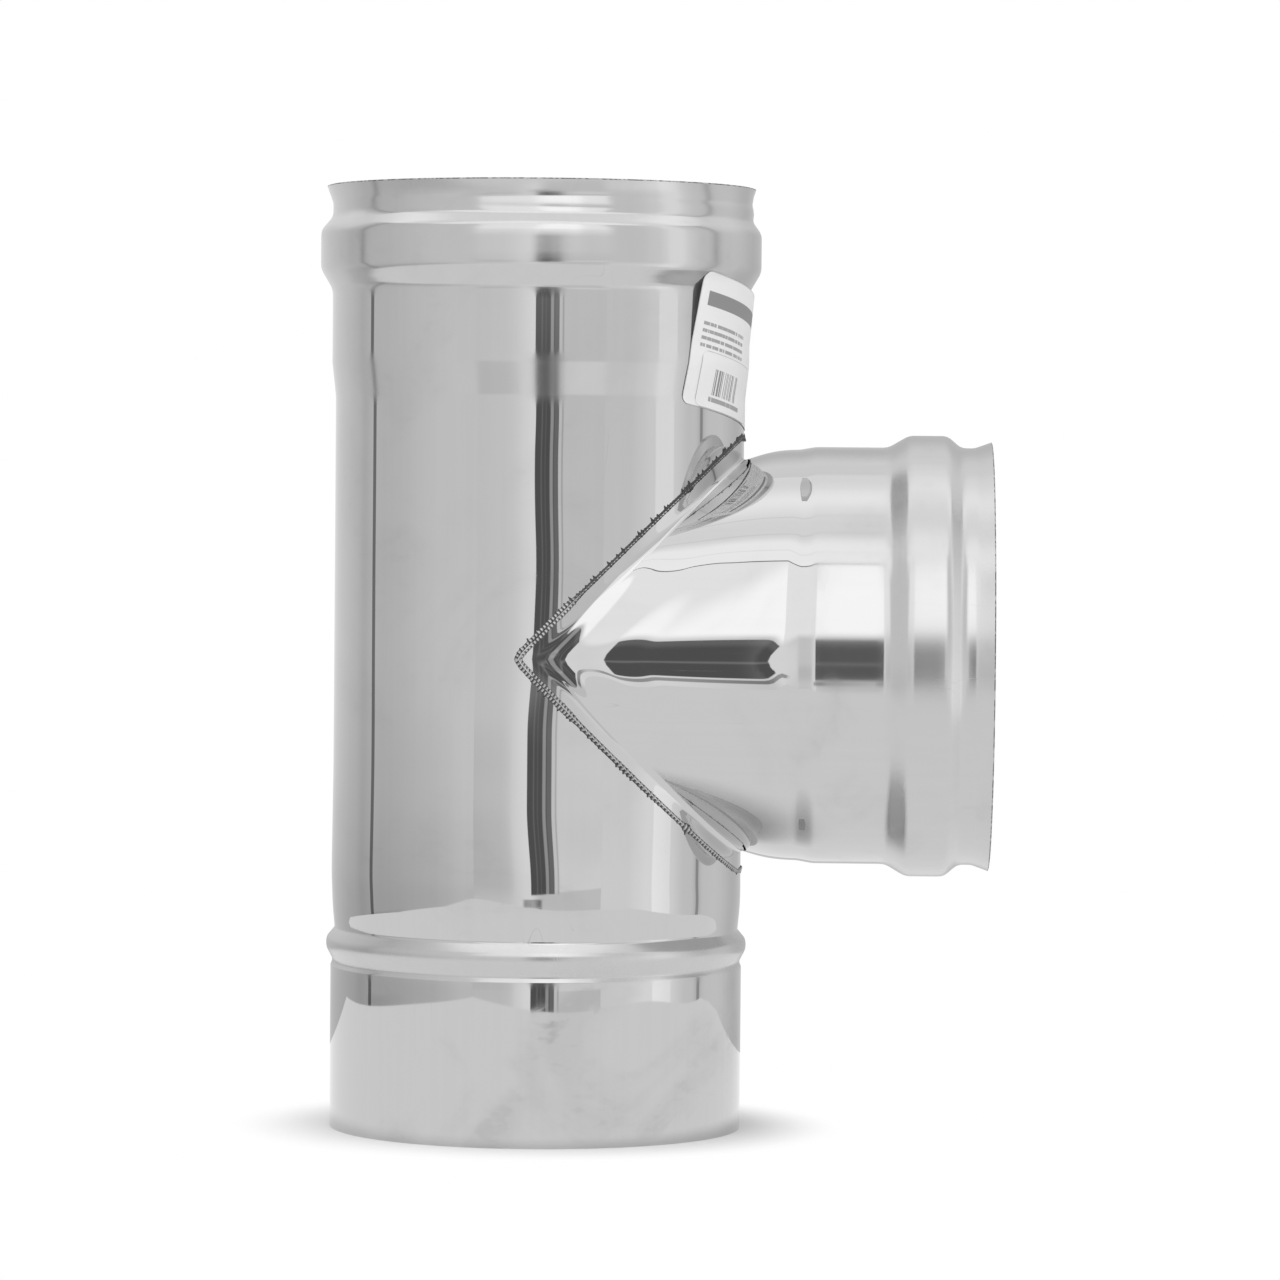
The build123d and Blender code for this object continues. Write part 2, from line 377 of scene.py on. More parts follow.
def sheet_piece(name, grids, marks, material, crease=40):
    """Piece made of grids of points in millimetres, whose meeting edges are merged.

    A grid's faces look along the cross product of its row direction and its column direction. Each
    mark is kept on the mesh under its name, with one value for every face of a grid if there is one
    number for each grid, and else with one value, or one vector, for every point."""
    counts = [grid.shape[0] * grid.shape[1] for grid in grids]
    starts = np.cumsum([0] + counts[:-1])
    faces = [grid_faces(*grid.shape[:2]) + start for grid, start in zip(grids, starts)]
    mesh = bpy.data.meshes.new(name)
    points = np.concatenate([grid.reshape(-1, 3) for grid in grids]) * metre
    mesh.from_pydata(points, [], np.concatenate(faces))
    for mark, values in marks.items():
        if np.ndim(values[0]) == 0:
            values = np.repeat(values, [len(part) for part in faces])
            mesh.attributes.new(mark, "FLOAT", "FACE").data.foreach_set("value", values)
        elif np.ndim(values[0]) == 3:
            values = np.concatenate([value.reshape(-1, 3) for value in values])
            mesh.attributes.new(mark, "FLOAT_VECTOR", "POINT").data.foreach_set("vector", values.ravel())
        else:
            values = np.concatenate([value.ravel() for value in values])
            mesh.attributes.new(mark, "FLOAT", "POINT").data.foreach_set("value", values)
    merged = bmesh.new()
    merged.from_mesh(mesh)
    bmesh.ops.remove_doubles(merged, verts=merged.verts, dist=merge_reach)
    bmesh.ops.dissolve_degenerate(merged, edges=merged.edges, dist=least_edge)
    merged.to_mesh(mesh)
    merged.free()
    mesh.shade_smooth()
    mesh.set_sharp_from_angle(angle=radians(crease))
    return new_object(name, mesh, material)


# Finish of the sheet, shared by every steel piece: colour, roughness and fine relief from the rolling
# marks along the tube, smears of handling, hairline scratches, dull worked zones and dark cut edges.
sheet_brightness, least_roughness = 0.56, 0.014

wear = bpy.data.node_groups.new("handled_steel", "ShaderNodeTree")
wear.interface.new_socket("Place", in_out="INPUT", socket_type="NodeSocketVector")
for socket in ("Brightness", "Worked", "Cut", "Smears"):
    wear.interface.new_socket(socket, in_out="INPUT", socket_type="NodeSocketFloat")
wear.interface.new_socket("Color", in_out="OUTPUT", socket_type="NodeSocketColor")
for socket in ("Roughness", "Relief"):
    wear.interface.new_socket(socket, in_out="OUTPUT", socket_type="NodeSocketFloat")
given = add_node(wear, "NodeGroupInput").outputs


def scaled_noise(tree, place, scale, detail, distortion=0.0):
    """Noise over the place stretched by the scale, one factor for each axis."""
    stretched = add_node(tree, "ShaderNodeVectorMath", {0: place, 1: scale}, operation="MULTIPLY")
    inputs = {"Vector": stretched.outputs[0], "Scale": 1.0, "Detail": detail, "Distortion": distortion}
    return add_node(tree, "ShaderNodeTexNoise", inputs).outputs[0]


def eased(tree, value, low, high, low_result=0.0, high_result=1.0):
    """Value carried from low…high to the results, with eased ends."""
    inputs = {0: value, 1: low, 2: high, 3: low_result, 4: high_result}
    return add_node(tree, "ShaderNodeMapRange", inputs, interpolation_type="SMOOTHSTEP").outputs[0]


def calculated(tree, operation, first, second=0.0, third=0.0):
    """Result of a Math node."""
    return add_node(tree, "ShaderNodeMath", {0: first, 1: second, 2: third}, operation=operation).outputs[0]


def grey(tree, value):
    """Colour whose red, green and blue are all the value."""
    return add_node(tree, "ShaderNodeCombineColor", {0: value, 1: value, 2: value}).outputs[0]


streaks = scaled_noise(wear, given["Place"], (420, 420, 7), 3)
cloudy = scaled_noise(wear, given["Place"], (17, 17, 21), 4, 1.2)
smears = calculated(wear, "MULTIPLY", eased(wear, cloudy, 0.48, 0.68), given["Smears"])
skin = scaled_noise(wear, given["Place"], (130, 130, 240), 4)
finger_marks = calculated(wear, "MULTIPLY", smears, eased(wear, skin, 0.50, 0.66))
long_noise = scaled_noise(wear, given["Place"], (130, 130, 2.5), 0)
off_line = calculated(wear, "ABSOLUTE", calculated(wear, "SUBTRACT", long_noise, 0.5))
sparse = eased(wear, scaled_noise(wear, given["Place"], (31, 27, 25), 2), 0.60, 0.66)
scratches = calculated(wear, "MULTIPLY", eased(wear, off_line, 0.004, 0.0), sparse)

roughness = least_roughness
roughened = [(streaks, 0.010), (finger_marks, 0.05), (scratches, 0.12)]
roughened += [(given["Worked"], 0.14), (given["Cut"], 0.35)]
for mark, amount in roughened:
    roughness = calculated(wear, "MULTIPLY_ADD", mark, amount, roughness)

brightness = given["Brightness"]
light_and_dark = calculated(wear, "SUBTRACT", streaks, 0.5)
for mark, amount in ((finger_marks, -0.016), (smears, -0.024), (light_and_dark, 0.022), (scratches, -0.05)):
    brightness = calculated(wear, "MULTIPLY_ADD", mark, amount, brightness)
tooth_marks = scaled_noise(wear, given["Place"], (900, 900, 900), 1)
cut_brightness = eased(wear, tooth_marks, 0.35, 0.60, 0.55, 0.15)
brightness = calculated(wear, "MULTIPLY", brightness, calculated(wear, "SUBTRACT", 1.0, given["Cut"]))
brightness = calculated(wear, "MULTIPLY_ADD", given["Cut"], cut_brightness, brightness)
relief = calculated(wear, "MULTIPLY_ADD", skin, finger_marks, streaks)
results = {"Color": grey(wear, brightness), "Roughness": roughness, "Relief": relief}
add_node(wear, "NodeGroupOutput", results)


def steel(name, rotation, brightness, worked=0.0, relief_depth=0.000001):
    """Material of the steel finish, with the pattern turned so that its Z runs along the tube, and as
    dull as the piece's mark of worked zones and the given value add up to."""
    material, tree, shader = new_material(name)
    shader.inputs["Metallic"].default_value = 1
    place = add_node(tree, "ShaderNodeTexCoord").outputs["Object"]
    place = add_node(tree, "ShaderNodeMapping", {"Vector": place, "Rotation": rotation}).outputs[0]
    cut, shaped, handled = (
        add_node(tree, "ShaderNodeAttribute", attribute_name=mark).outputs["Fac"]
        for mark in ("cut", "worked", "handled")
    )
    shaped = calculated(tree, "ADD", shaped, worked)
    inputs = {"Place": place, "Brightness": brightness, "Worked": shaped, "Cut": cut, "Smears": handled}
    finish = add_node(tree, "ShaderNodeGroup", inputs, node_tree=wear).outputs
    tree.links.new(finish["Color"], shader.inputs["Base Color"])
    tree.links.new(finish["Roughness"], shader.inputs["Roughness"])
    grain = add_node(tree, "ShaderNodeBump", {"Height": finish["Relief"], "Distance": relief_depth})
    tree.links.new(grain.outputs["Normal"], shader.inputs["Normal"])
    return material


run_socket = socket_corners(run_mouth, run_shoulder, body_radius)
run_outline = [
    (0, spigot_radius),
    (spigot_length, spigot_radius),
    (spigot_length + spigot_taper, body_radius),
    (rib_height - rib_half_width, body_radius),
    (rib_height - rib_half_crest, body_radius + rib_rise),
    (rib_height + rib_half_crest, body_radius + rib_rise),
    (rib_height + rib_half_width, body_radius),
] + run_socket
socket_fillets = [12, 12, 6, 6, 4.5, 4.5, 5]
run_fillets = [1, 1, 2, 4, 4, 2] + socket_fillets
hole_lap, fillet_room = 3.0, 1.5
body_foot = rib_height + rib_half_width + fillet_room
body_head = run_socket[0][0] - fillet_room
front_angle, seam_angle = -pi / 2, pi * 0.62
seam_half_width, seam_rise, seam_reach, seam_room = 0.7, 0.12, 1.5, 2.2
seam_column_count, open_column_count, closed_column_count = 9, 117, 121

# Waist above the rib: the slope of the sheet is summed up the tube, to end at the tube's own radius.
waist_foot, waist_head, waist_row_count = 60, 122, 249
waist_height = np.linspace(waist_foot, waist_head, waist_row_count)
waist_slope = 0.043 * band(62, 79.5, 5, waist_height) + 0.055 * band(60, 69.5, 5, waist_height)
waist_slope = waist_slope - 0.0111 * band(84, 114, 10, waist_height)
waist = np.cumsum(waist_slope) * (waist_height[1] - waist_height[0])
waist = waist - waist[-1] * smooth_step(waist_foot, waist_foot + 3, waist_height)


def turned_from(start, angle):
    """Angle from the start, at most half a turn either way."""
    return (angle - start + pi) % (2 * pi) - pi


def run_bend(angle, height):
    """Error of the rolled tube's radius.

    It is pulled in just above the rib, widens from there to a slight swell and eases back higher up,
    less so under the branch. In front it stands a fraction of a millimetre out on the left below the
    joint's tip and on the right above it, as the heat of the weld left it. The socket's neck is opened
    out on the branch's side, and a low ridge marks the tube's own seam weld at the back."""
    under_branch = smooth_step(0.5, 0.95, np.cos(angle)) * smooth_step(70, 80, height)
    swell = np.interp(height, waist_height, waist, right=0) * (1 - 0.8 * under_branch)
    lean = -0.026 * band(92, 140, 26, height) + 0.012 * bump(height, 178, 16) + 0.005 * bump(height, 225, 8)
    from_front = turned_from(front_angle, angle)
    tilt = lean * body_radius * np.sin(from_front) * bump(from_front, 0, 0.42)
    neck = 0.65 * (1 + np.cos(angle)) * bump(height, run_mouth - lip_length - neck_length / 2, 3)
    from_seam = body_radius * turned_from(seam_angle, angle)
    return swell + tilt + neck + seam_rise * bump(from_seam, 0, seam_half_width)


outline, outline_normal = rounded_outline(run_outline, run_fillets, stretch_step, arc_step)
hole_half_angle = acos(hole_lap / body_radius)
seam_columns = seam_angle + np.linspace(-seam_reach, seam_reach, seam_column_count) / body_radius
closed_side = np.linspace(hole_half_angle, 2 * pi - hole_half_angle, closed_column_count)[1:]
closed_side = closed_side[np.abs(closed_side - seam_angle) > seam_room / body_radius]
open_side = np.linspace(-hole_half_angle, hole_half_angle, open_column_count)
around = np.concatenate([open_side, np.sort(np.concatenate([closed_side, seam_columns]))])
half_hole = np.maximum(0, body_radius * np.cos(around) - hole_lap)
below = outline[:, 0] < branch_height
level, outward = np.array([[branch_height, body_radius]]), np.array([[0, 1]])
outline_halves = [np.concatenate([outline[below], level]), np.concatenate([level, outline[~below]])]
normal_halves = [
    np.concatenate([outline_normal[below], outward]),
    np.concatenate([outward, outline_normal[~below]]),
]


def run_sheet(half, depth):
    """Lower or upper half, 0 or 1, of the tube's skin, depth under its outside: the outline turned
    about the axis, with its rows drawn together along the branch's hole. A row's height is squeezed
    in step with the room that the hole leaves."""
    height, radius = (outline_halves[half] - depth * normal_halves[half]).T[:, :, None]
    limit = (body_foot, body_head)[half]
    side = (1, -1)[half]
    squeeze = 1 - half_hole / (side * (branch_height - limit))
    height = np.where((height - limit) * side > 0, limit + (height - limit) * squeeze, height)
    angle, height, radius = np.broadcast_arrays(around, height, radius)
    radius = radius + run_bend(angle, height)
    return np.stack([radius * np.cos(angle), radius * np.sin(angle), height], axis=-1)


def run_worked(points):
    """Mark of the zones that the forming rolls have dulled: most on the rib, then from the bead to the
    mouth, and a little on the shoulder."""
    height = points[..., 2]
    rib = band(spigot_length, rib_height + rib_half_width, 2, height)
    shoulder = band(run_socket[0][0] - 2, run_socket[1][0] + 2, 6, height)
    mouth = smooth_step(run_mouth - bead_reach - 4, run_mouth - bead_reach, height)
    return 1.8 * rib + 0.8 * shoulder + mouth


def run_handled(points):
    """Mark of how much the tube was handled: most on the spigot, where it is pushed home."""
    return 0.8 + 1.1 * smooth_step(60, 42, points[..., 2])


# Outside, with the burr at the mouth as a strip of its own, then the inside, and the cut edges of the
# foot, the mouth and both halves of the branch's hole.
outer_low, outer_high = run_sheet(0, 0), run_sheet(1, 0)
inner_low, inner_high = run_sheet(0, sheet), run_sheet(1, sheet)
open_columns = slice(0, open_column_count)
run_grids = [
    outer_low.transpose(1, 0, 2),
    outer_high[:-1].transpose(1, 0, 2),
    outer_high[-2:].transpose(1, 0, 2),
    inner_low,
    inner_high,
    np.stack([outer_low[0], inner_low[0]]),
    np.stack([inner_high[-1], outer_high[-1]]),
    np.stack([inner_low[-1, open_columns], outer_low[-1, open_columns]]),
    np.stack([outer_high[0, open_columns], inner_high[0, open_columns]]),
]
run_marks = {
    "cut": [0, 0, 1, 0, 0, 1, 1, 1, 1],
    "worked": [run_worked(grid) for grid in run_grids],
    "handled": [run_handled(grid) for grid in run_grids],
}
run_steel = steel("run_steel", (0, 0, 0), sheet_brightness)
run_tube = sheet_piece("straight_tube", run_grids, run_marks, run_steel)
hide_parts("run_tube")
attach(run_tube, "root")


# Branch tube: the same sheet, flared at its inner end into a narrow flange that lies on the straight
# tube like a saddle, and beaded into a socket at its outer end.
branch_swell, branch_shoulder, branch_seam_turn = 0.3, 5.1, pi * 1.12
flange_radius, branch_radius = body_radius + sheet, body_radius + branch_swell
crease_gap, edge_gap, vertex_round = 3.9, 3.0, 1.0
flange_width, bend_reach = 4.8, 1.6
branch_mouth = branch_high[0] - lip_overhang
branch_socket = socket_corners(branch_mouth, branch_shoulder, branch_radius)
shoulder_foot = branch_socket[0][0]
turn_steps, flange_row_count, bend_row_count, body_row_count = 230, 4, 7, 76
turn = np.linspace(0, 2 * pi, turn_steps + 1)


def saddle_line(gap, crest):
    """Closed line on the straight tube, a V seen from the front: its distance along the branch is the
    height above or below the branch's axis plus the gap, with a small round at the V's tip."""
    height = crest * np.sin(turn)
    along = np.sqrt(height**2 + vertex_round**2) - vertex_round + gap
    depth = np.sqrt(np.maximum(flange_radius**2 - along**2, 0)) * -np.sign(np.cos(turn))
    return np.stack([along, depth, height], axis=-1)


def on_run(points, radius):
    """Points moved level with the straight tube's axis until they lie at the radius."""
    flat = points[..., :2] * (radius / np.linalg.norm(points[..., :2], axis=-1))[..., None]
    return np.concatenate([flat, points[..., 2:]], axis=-1)


def crease_dent(distance):
    """Error of the radius that the flaring left, by the distance from the crease: a quick fall beside
    it, a rise and a smaller fall within 30 millimetres, and a return just before the socket."""
    fall = -0.50 * (1 - np.exp(-((distance / 4.2) ** 2)))
    rise = 0.22 * smooth_step(7, 19, distance) - 0.14 * smooth_step(17, 30, distance)
    return fall + rise + 0.42 * smooth_step(66, 79, distance)


crease_line = saddle_line(crease_gap, flange_radius - crease_gap)
edge_line = saddle_line(-edge_gap, flange_radius + edge_gap)


def branch_surface(share):
    """Points of the branch's plain stretch, from the crease, share 0, to the shoulder's foot, share 1.
    What the radius lacks shrinks as the square of the share that is left, the dent is added and fades
    out towards the top and the bottom, and the turn eases over to an even one."""
    crease_reach = np.hypot(crease_line[:, 1], crease_line[:, 2])
    crease_turn = np.unwrap(np.arctan2(crease_line[:, 2], -crease_line[:, 1]))
    crease_turn += np.round((turn - crease_turn) / (2 * pi)) * 2 * pi
    length = shoulder_foot - crease_line[:, 0]
    along = crease_line[:, 0] + length * share
    reach = branch_radius - (branch_radius - crease_reach) * (1 - share) ** 2
    reach = reach + crease_dent(length * share) * smooth_step(0.80, 0.99, np.abs(np.cos(turn)))
    angle = crease_turn + (turn - crease_turn) * smooth_step(0, 1, share)
    return np.stack([along, -reach * np.cos(angle), reach * np.sin(angle)], axis=-1)


# The flange bends over into the branch along a curve that starts on the one, ends on the other and is
# drawn to the crease between them.
on_flange = on_run(crease_line + (edge_line - crease_line) * bend_reach / flange_width, flange_radius)
start_share = bend_reach / (shoulder_foot - crease_line[:, 0])
on_branch = branch_surface(start_share[None])[0]
share = np.linspace(0, 1, flange_row_count)[:, None, None]
flange_rows = on_run(edge_line + (on_flange - edge_line) * share, flange_radius)
share = np.linspace(0, 1, bend_row_count)[:, None, None]
bend_rows = (1 - share) ** 2 * on_flange + 2 * share * (1 - share) * crease_line + share**2 * on_branch
share = (np.linspace(0, 1, body_row_count) ** 1.5)[:, None]
body_rows = branch_surface(start_share + (1 - start_share) * share)

outline_start, kept_start = shoulder_foot - 8.0, shoulder_foot - 1.0
branch_outline = [(outline_start, branch_radius)] + branch_socket
branch_outline = rounded_outline(branch_outline, socket_fillets, stretch_step, arc_step)[0]
branch_outline = branch_outline[branch_outline[:, 0] > kept_start]
along, radius, angle = np.broadcast_arrays(branch_outline[:, :1], branch_outline[:, 1:], turn)
socket_rows = np.stack([along, -radius * np.cos(angle), radius * np.sin(angle)], axis=-1)

# The outside gets its seam ridge along the normals, and the inside lies a sheet's thickness under it
# on every other row.
outer = np.concatenate([flange_rows[:-1], bend_rows[:-1], body_rows[:-2], socket_rows])
down_rows, along_row = np.gradient(outer, axis=0), np.gradient(outer, axis=1)
along_row[:, 0] = along_row[:, -1] = outer[:, 1] - outer[:, -2]
outer_normal = np.cross(down_rows, along_row)
outer_normal /= np.linalg.norm(outer_normal, axis=-1)[..., None]
seam_ridge = seam_rise * bump(branch_radius * (turn - branch_seam_turn), 0, seam_half_width)
outer = outer + outer_normal * seam_ridge[:, None]
inner = outer - sheet * outer_normal
inner_rows = np.unique(np.append(np.arange(0, len(outer), 2), len(outer) - 1))
raise_branch = np.array([0, 0, branch_height])
branch_grids = [
    outer[:-1] + raise_branch,
    outer[-2:] + raise_branch,
    (inner[inner_rows] + raise_branch).transpose(1, 0, 2),
    np.stack([inner[0], outer[0]]) + raise_branch,
    np.stack([outer[-1], inner[-1]]) + raise_branch,
]


def branch_worked(points):
    """Mark of the zones that the forming rolls have dulled: a little on the grip, and more from the
    bead to the mouth."""
    along = points[..., 0]
    grip_top = branch_mouth - bead_reach
    grip_foot = grip_top - grip_length
    grip = smooth_step(grip_foot - 2, grip_foot + 2, along)
    return 0.55 * grip + smooth_step(grip_top - 3, grip_top + 1, along)


def branch_handled(points):
    """Mark of how much the branch was handled: most on the lower side of its outer end."""
    outer_end = smooth_step(70, 105, points[..., 0])
    return 0.8 + 0.7 * outer_end * smooth_step(branch_height, branch_low[2], points[..., 2])


branch_marks = {
    "cut": [0, 1, 0, 1, 1],
    "worked": [branch_worked(grid) for grid in branch_grids],
    "handled": [branch_handled(grid) for grid in branch_grids],
}
branch_steel = steel("branch_steel", (0, pi / 2, 0), sheet_brightness)
branch_tube = sheet_piece("branch", branch_grids, branch_marks, branch_steel)
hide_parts("branch_tube")
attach(branch_tube, "root")


# Weld that joins the flange to the straight tube: a run of small overlapping pools of the tubes' own
# steel, doubled at the tip of the V, coarse below it and drawn out thin above, with a few burrs.
weld_step = 0.2
tip_half_width, lower_half_width, upper_half_width = 1.25, 0.80, 0.70
tip_height, lower_height, upper_height = 0.42, 0.34, 0.34
tip_pitch, lower_pitch, upper_pitch = 1.2, 1.6, 1.25
tip_shine, lower_shine, upper_shine = 1.0, 0.85, 0.40
burr_height, burr_size = 52.5, 0.9
pool_bow, edge_sink, under_share = 0.30, 0.12, 0.7
run_side_drop, flange_side_lift = 0.2, 0.1
weld_brightness, weld_worked, weld_relief = 0.46, 0.9, 0.00002
columns_across = 11

# Path along the flange's edge on the unrolled tube, with the direction out of the flange.
unrolled = np.stack([flange_radius * np.arctan2(edge_line[:, 1], edge_line[:, 0]), edge_line[:, 2]], axis=1)
travelled = np.concatenate([[0], np.cumsum(np.linalg.norm(np.diff(unrolled, axis=0), axis=1))])
stations = np.linspace(0, travelled[-1], int(travelled[-1] / weld_step) + 1)
path = np.stack([np.interp(stations, travelled, unrolled[:, i]) for i in (0, 1)], axis=1)
heading = np.gradient(path, axis=0)
heading[0] = heading[-1] = path[1] - path[-2]
heading /= np.linalg.norm(heading, axis=1)[:, None]
outside = np.stack([-heading[:, 1], heading[:, 0]], axis=1)
from_tip = np.minimum(stations, stations[-1] - stations)
from_tip = np.minimum(from_tip, np.abs(stations - stations[-1] / 2))
tip = smooth_step(30, 20, from_tip)[:, None]
lower = smooth_step(2, -2, path[:, 1])[:, None]


def weld_value(at_tip, low, high):
    """Value along the weld: one at the tips of the V, one below them and one above."""
    return tip * at_tip + (1 - tip) * (lower * low + (1 - lower) * high)


# Each pool begins with a steep step, an arc across the bead, and falls off slowly to the next. At the
# tips two lanes of pools lie side by side, half a pool apart. The burrs are on the tee's front.
rng = np.random.default_rng(11)
pools = np.cumsum(weld_step / weld_value(tip_pitch, lower_pitch, upper_pitch)[:, 0])
pools *= np.round(pools[-1]) / pools[-1]
chance = rng.random(int(pools[-1]) + 3)
ragged = chance[np.floor(pools).astype(int)][:, None]
across = np.linspace(-1, 1, columns_across)
lane = np.abs(2 * np.abs(across) - 1)
lane_crown = np.sqrt(np.maximum(1 - lane**2, 0)) * 0.8 + 0.2
crown = tip * lane_crown + (1 - tip) * np.sqrt(1 - across**2)
phase = pools[:, None] + 0.5 * tip * (across > 0) - pool_bow * (tip * lane**2 + (1 - tip) * across**2)
pool = 1 - phase % 1
pool_rise = (0.25 + 0.75 * pool**0.6) * (0.75 + 0.25 * ragged)
front_side = unrolled[0, 0] * path[:, :1] > 0
burr = bump(np.abs(path[:, 1]), burr_height, burr_size)[:, None] * front_side
spike = np.sin(pi * (pools % 1))[:, None] ** 3 * ragged**2
reach = weld_value(tip_half_width, lower_half_width, upper_half_width) * (1 + 0.9 * burr)
reach = reach * (1 + (0.25 + weld_value(0.65, 0.65, 2.0) * (across > 0)) * spike)
rise = weld_value(tip_height, lower_height, upper_height) * crown * pool_rise * (1 + 0.5 * burr)

# The bead's two edges dip into the sheets, and two more columns close it underneath.
edges = np.abs(across) > 0.99
weld_radius = body_radius + sheet / 2 - across * sheet / 2 - edge_sink * edges + rise
weld_place = path[:, None] + outside[:, None] * (across * reach)[..., None]
under = np.array([under_share, -under_share])
under_place = path[:, None] + outside[:, None] * (under * reach[:, [-2, 1]])[..., None]
under_radius = [body_radius - run_side_drop, body_radius + flange_side_lift]
under_radius = np.broadcast_to(under_radius, under_place.shape[:2])
weld_place = np.concatenate([weld_place, under_place, weld_place[:, :1]], axis=1)
weld_radius = np.concatenate([weld_radius, under_radius, weld_radius[:, :1]], axis=1)
weld_place[-1], weld_radius[-1] = weld_place[0], weld_radius[0]
weld_angle, weld_height = weld_place[..., 0] / flange_radius, weld_place[..., 1] + branch_height
weld_x, weld_y = weld_radius * np.cos(weld_angle), weld_radius * np.sin(weld_angle)
weld_points = np.stack([weld_x, weld_y, weld_height], axis=-1)
shine = weld_value(tip_shine, lower_shine, upper_shine)
# The hollow mark is highest where the bead lies low: at its edges and towards each pool's tail. It is
# lowest on the high crowns.
hollow = 1 - shine * crown * np.clip(1.3 * pool, 0, 1)
hollow = np.concatenate([hollow, np.ones((len(hollow), 3))], axis=1)

weld_steel = steel("weld_steel", (0, 0, 0), weld_brightness, weld_worked, weld_relief)
tree = weld_steel.node_tree
hollow_mark = add_node(tree, "ShaderNodeAttribute", attribute_name="hollow").outputs["Fac"]
finish = tree.nodes["Group"].outputs["Color"]
# The weld's colour is scaled down by the hollow mark, so it is darker where the bead lies low.
hollow_darkening = {0: finish, "Scale": eased(tree, hollow_mark, 0.10, 0.75, 1.0, 0.14)}
shade = add_node(tree, "ShaderNodeVectorMath", hollow_darkening, operation="SCALE")
tree.links.new(shade.outputs[0], tree.nodes["Principled BSDF"].inputs["Base Color"])
weld = sheet_piece("saddle_weld_beads", [weld_points], {"hollow": [hollow]}, weld_steel, crease=60)
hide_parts("saddle_weld")
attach(weld, "root")


# Larger sticker on the socket, beside the branch: white paper with rounded corners, stuck on the
# socket's grip and bridging the hollow under the bead. Its print is plain generic bars.
paper, glue, curl, curl_start = 0.15, 0.05, 0.08, -20
label_angle, label_tilt, label_middle, label_corner = radians(72), radians(9), 244.99, 3.0
label_width, label_height, label_hold = 56.0, 41.5, 6.0
corner_rows, side_rows, label_columns = 7, 16, 60
# Width and grey of the band of painted shade along each sticker's edges, and the paper's white.
edge_shade_width, edge_shade_grey, paper_white = 0.25, 0.42, 0.80
heading_ink, line_ink = 0.85, 0.7
label_fillets, label_step, label_arc_step = [12, 12, 6, 6, 6], 1.0, 0.7

label_seat = tuple((np.array(run_socket[2]) + np.array(run_socket[3])) / 2)
label_outline = [(branch_height + body_radius, body_radius)] + run_socket[:2]
label_outline += [(run_socket[1][0] + label_hold, socket_radius), label_seat, run_socket[3], run_socket[4]]
label_line = rounded_outline(label_outline, label_fillets, label_step, label_arc_step)[0]


def paper_grids(width, height, left, drop, layer):
    """Front, back and edges of a sticker, and the place of each point on the label, in millimetres.

    The rows of a rectangle with rounded corners are as wide as the corner's quarter circles leave
    them. They are tilted, wrapped round the socket and lifted by the layers of paper under them,
    and the edge away from the branch has curled off the steel."""
    quarter = np.linspace(0, pi / 2, corner_rows)
    foot = -height / 2 + label_corner * (1 - np.cos(quarter))
    side = np.linspace(foot[-1], -foot[-1], side_rows + 2)[1:-1]
    level = np.concatenate([foot, side, -foot[::-1]])
    half = width / 2 - label_corner + label_corner * np.sin(quarter)
    half = np.concatenate([half, np.full(side_rows, width / 2), half[::-1]])
    flat_x = half[:, None] * np.linspace(-1, 1, label_columns) - left
    flat_y = np.broadcast_to(level[:, None] - drop, flat_x.shape)
    turned = flat_x * np.cos(label_tilt) + flat_y * np.sin(label_tilt)
    raised = label_middle + flat_y * np.cos(label_tilt) - flat_x * np.sin(label_tilt)
    angle = label_angle + turned / socket_radius
    skin = np.interp(raised, label_line[:, 0], label_line[:, 1]) + (layer + 1) * (glue + paper)
    skin = skin + curl * smooth_step(curl_start, -label_width / 2, flat_x) ** 2
    front, back = (
        np.stack([radius * np.sin(angle), -radius * np.cos(angle), raised], axis=-1)
        for radius in (skin, skin - paper)
    )
    flat = np.stack([flat_x, flat_y, np.zeros_like(flat_x)], axis=-1)
    front, back, flat = (grid.transpose(1, 0, 2) for grid in (front, back, flat))
    edges = [np.stack([back[0], front[0]]), np.stack([front[-1], back[-1]])]
    edges += [np.stack([front[:, 0], back[:, 0]]), np.stack([back[:, -1], front[:, -1]])]
    flat_edges = [np.stack([edge] * 2) for edge in (flat[0], flat[-1], flat[:, 0], flat[:, -1])]
    return [front, back[:, ::-1]] + edges, [flat, flat[:, ::-1]] + flat_edges


def print_box(tree, place, left, right, foot, top):
    """Mask of a printed area on the label, between its left, right, foot and top."""
    separate = add_node(tree, "ShaderNodeSeparateXYZ", {0: place})
    mask = 1.0
    for value, low, high in ((separate.outputs[0], left, right), (separate.outputs[1], foot, top)):
        middle = calculated(tree, "ABSOLUTE", calculated(tree, "SUBTRACT", value, (low + high) / 2))
        inside = calculated(tree, "LESS_THAN", middle, (high - low) / 2)
        mask = calculated(tree, "MULTIPLY", mask, inside)
    return mask


def dashes(tree, place, step, height, fill):
    """Mask of rows of short dashes, like lines of small print: each row is a step below the last, and
    noise along it breaks it up, less so the higher the fill."""
    separate = add_node(tree, "ShaderNodeSeparateXYZ", {0: place})
    rows = calculated(tree, "DIVIDE", separate.outputs[1], step)
    inside = calculated(tree, "LESS_THAN", calculated(tree, "FRACT", rows), height / step)
    length_place = calculated(tree, "MULTIPLY", separate.outputs[0], 1.15)
    row_place = calculated(tree, "MULTIPLY", calculated(tree, "FLOOR", rows), 7.3)
    cells = add_node(tree, "ShaderNodeCombineXYZ", {0: length_place, 1: row_place})
    noise = add_node(tree, "ShaderNodeTexNoise", {"Vector": cells.outputs[0], "Scale": 1.0, "Detail": 2.0})
    printed = calculated(tree, "GREATER_THAN", noise.outputs[0], 1 - fill)
    return calculated(tree, "MULTIPLY", inside, printed)


